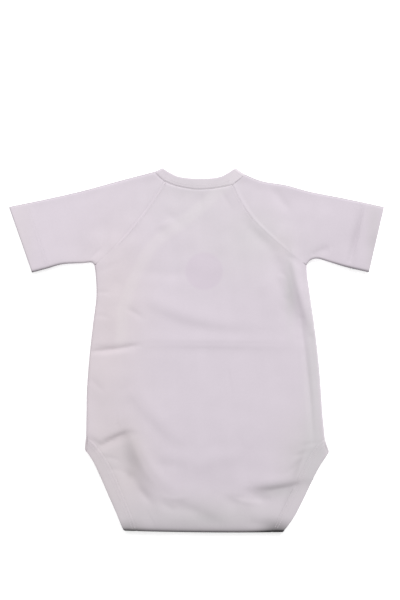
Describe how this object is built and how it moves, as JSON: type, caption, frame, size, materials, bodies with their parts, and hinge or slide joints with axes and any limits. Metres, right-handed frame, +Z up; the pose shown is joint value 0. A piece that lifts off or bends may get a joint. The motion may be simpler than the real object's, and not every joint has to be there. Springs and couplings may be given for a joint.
{
  "type": "baby onesie",
  "caption": "Short-sleeved raglan baby bodysuit in cotton jersey, laid flat on its wrap front, with rib bands at the neck and legs and press studs at the crotch.",
  "frame": {"origin": "bottom centre of the garment's box as it lies flat, on the surface that it lies on", "axes": "+Z up from the surface, +Y towards the neck, +X towards the wearer's right, which is the picture's right; the back faces up"},
  "size_m": [0.3935, 0.383, 0.0072],
  "materials": {
    "jersey": "matt cotton interlock, pale pinkish lilac",
    "rib": "matt cotton rib, pale pinkish lilac",
    "press_stud": "smooth resin, off-white"
  },
  "bodies": {
    "root": {"back_panel": "jersey", "front_over_panel": "jersey", "front_under_panel": "jersey", "sleeve_left": "jersey", "sleeve_right": "jersey", "neck_binding_back": "rib", "neck_binding_over": "rib", "neck_binding_under": "rib", "leg_binding_back_left": "rib", "leg_binding_back_right": "rib", "leg_binding_front_left": "rib", "leg_binding_front_right": "rib", "crotch_snap_cap_1": "press_stud", "crotch_snap_cap_2": "press_stud", "crotch_snap_cap_3": "press_stud", "crotch_snap_stud_1": "press_stud", "crotch_snap_stud_2": "press_stud", "crotch_snap_stud_3": "press_stud", "side_snap_cap": "press_stud", "side_snap_stud": "press_stud"}
  },
  "joints": []
}
